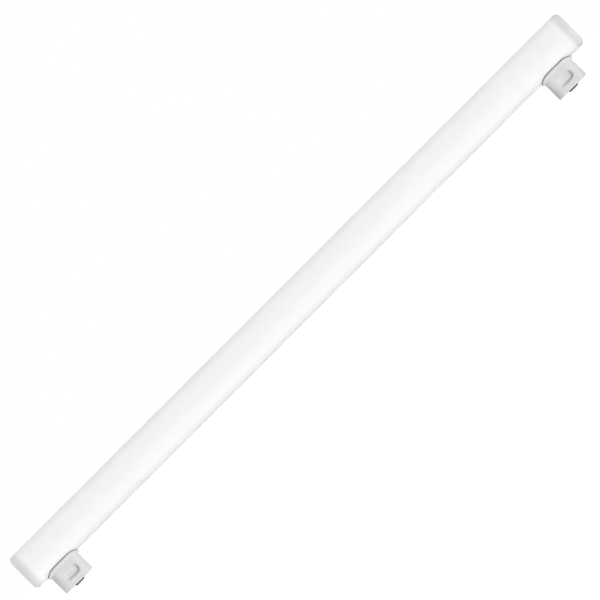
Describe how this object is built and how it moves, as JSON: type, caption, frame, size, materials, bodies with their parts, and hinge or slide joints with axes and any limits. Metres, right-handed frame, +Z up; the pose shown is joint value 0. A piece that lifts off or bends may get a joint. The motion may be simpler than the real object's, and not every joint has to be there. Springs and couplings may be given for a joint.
{
  "type": "tubular light bulb",
  "caption": "Slim opal tubular light bulb with closed ends, and a moulded side base with a brass contact near each end, for linear lamp holders.",
  "frame": {"origin": "middle of the lamp at the outer faces of the two contacts, on which it stands", "axes": "+X along the tube towards the end with the longer overhang, +Z up from the contacts to the tube"},
  "size_m": [0.5, 0.0268, 0.0432],
  "materials": {
    "opal_glass": "satin opal, can't be seen into",
    "base_plastic": "fine moulded, satin",
    "contact_brass": "lightly tarnished, stamped",
    "cement": "matt silicone",
    "lead_insulation": "satin sleeve"
  },
  "bodies": {
    "root": {"bulb_tube": "opal_glass", "base_left": "base_plastic", "base_right": "base_plastic", "contact_left": "contact_brass", "contact_right": "contact_brass", "cement_left": "cement", "cement_right": "cement", "lead_wire_left": "lead_insulation", "lead_wire_right": "lead_insulation"}
  },
  "joints": []
}
